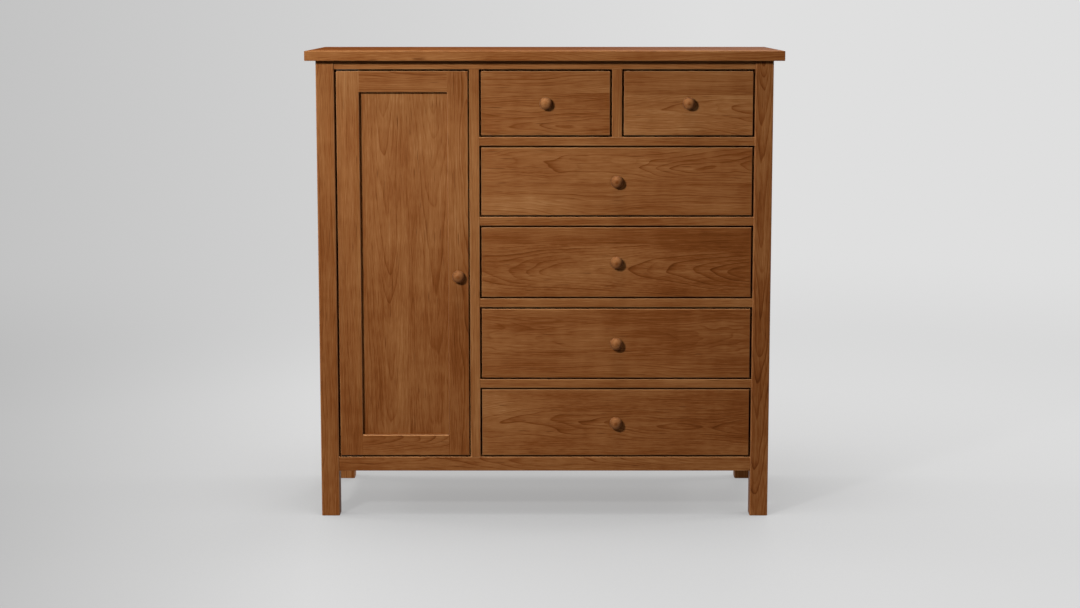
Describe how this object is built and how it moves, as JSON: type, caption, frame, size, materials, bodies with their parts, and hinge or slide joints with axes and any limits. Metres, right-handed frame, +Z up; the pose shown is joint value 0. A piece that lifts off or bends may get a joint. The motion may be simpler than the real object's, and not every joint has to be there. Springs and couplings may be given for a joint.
{
  "type": "chifforobe",
  "caption": "Free-standing wooden chifforobe on square legs: a tall cupboard with a framed panel door beside a bank of drawers, with round wooden knobs and a plain overhanging top.",
  "frame": {"origin": "on the floor, below the middle of the top board", "axes": "+Z up, the front with the door and drawers faces -Y, +X runs from the door on the left to the drawers on the right"},
  "size_m": [1.2192, 0.515, 1.211],
  "materials": {
    "stained_wood": "satin stain and lacquer",
    "inner_wood": "thin satin lacquer",
    "drawer_wood": "thin satin lacquer",
    "steel": "zinc plated",
    "hinge_steel": "bronzed",
    "catch_plastic": "matte"
  },
  "bodies": {
    "carcass": {"top_board": "stained_wood", "left_front_post": "stained_wood", "right_front_post": "stained_wood", "left_rear_post": "stained_wood", "right_rear_post": "stained_wood", "left_side_rails": "stained_wood", "right_side_rails": "stained_wood", "left_side_panel": "stained_wood", "right_side_panel": "stained_wood", "back_panel": "inner_wood", "rear_rails": "inner_wood", "front_top_rail": "stained_wood", "front_bottom_rail": "stained_wood", "drawer_rails": "stained_wood", "centre_stile": "stained_wood", "partition_panel": "inner_wood", "top_drawer_divider": "stained_wood", "bottom_board": "inner_wood", "drawer_runners": "inner_wood", "drawer_guides": "inner_wood", "rear_web_rails": "inner_wood", "top_cleats": "inner_wood", "drawer_stops": "inner_wood", "shelves": "inner_wood", "shelf_pins": "steel", "hinge_frame_leaves": "hinge_steel", "magnetic_catch": "catch_plastic", "assembly_screws": "steel"},
    "door": {"door_hinge_stile": "stained_wood", "door_lock_stile": "stained_wood", "door_top_rail": "stained_wood", "door_bottom_rail": "stained_wood", "door_panel": "stained_wood", "door_knob": "stained_wood", "hinge_door_leaves": "hinge_steel", "door_strike_plate": "steel"},
    "top_left_drawer": {"top_left_drawer_front": "stained_wood", "top_left_drawer_box": "drawer_wood", "top_left_drawer_bottom": "drawer_wood", "top_left_drawer_knob": "stained_wood"},
    "top_right_drawer": {"top_right_drawer_front": "stained_wood", "top_right_drawer_box": "drawer_wood", "top_right_drawer_bottom": "drawer_wood", "top_right_drawer_knob": "stained_wood"},
    "second_drawer": {"second_drawer_front": "stained_wood", "second_drawer_box": "drawer_wood", "second_drawer_bottom": "drawer_wood", "second_drawer_knob": "stained_wood"},
    "third_drawer": {"third_drawer_front": "stained_wood", "third_drawer_box": "drawer_wood", "third_drawer_bottom": "drawer_wood", "third_drawer_knob": "stained_wood"},
    "fourth_drawer": {"fourth_drawer_front": "stained_wood", "fourth_drawer_box": "drawer_wood", "fourth_drawer_bottom": "drawer_wood", "fourth_drawer_knob": "stained_wood"},
    "bottom_drawer": {"bottom_drawer_front": "stained_wood", "bottom_drawer_box": "drawer_wood", "bottom_drawer_bottom": "drawer_wood", "bottom_drawer_knob": "stained_wood"}
  },
  "joints": [
    {"name": "door_hinge", "type": "hinge", "parent": "carcass", "child": "door", "pos_m": [-0.5262, -0.2225, 0.66025], "axis": [0, 0, -1], "range_deg": [0, 105]},
    {"name": "top_left_drawer_slide", "type": "slide", "parent": "carcass", "child": "top_left_drawer", "axis": [0, -1, 0], "range_m": [0, 0.33]},
    {"name": "top_right_drawer_slide", "type": "slide", "parent": "carcass", "child": "top_right_drawer", "axis": [0, -1, 0], "range_m": [0, 0.33]},
    {"name": "second_drawer_slide", "type": "slide", "parent": "carcass", "child": "second_drawer", "axis": [0, -1, 0], "range_m": [0, 0.33]},
    {"name": "third_drawer_slide", "type": "slide", "parent": "carcass", "child": "third_drawer", "axis": [0, -1, 0], "range_m": [0, 0.33]},
    {"name": "fourth_drawer_slide", "type": "slide", "parent": "carcass", "child": "fourth_drawer", "axis": [0, -1, 0], "range_m": [0, 0.33]},
    {"name": "bottom_drawer_slide", "type": "slide", "parent": "carcass", "child": "bottom_drawer", "axis": [0, -1, 0], "range_m": [0, 0.33]}
  ]
}
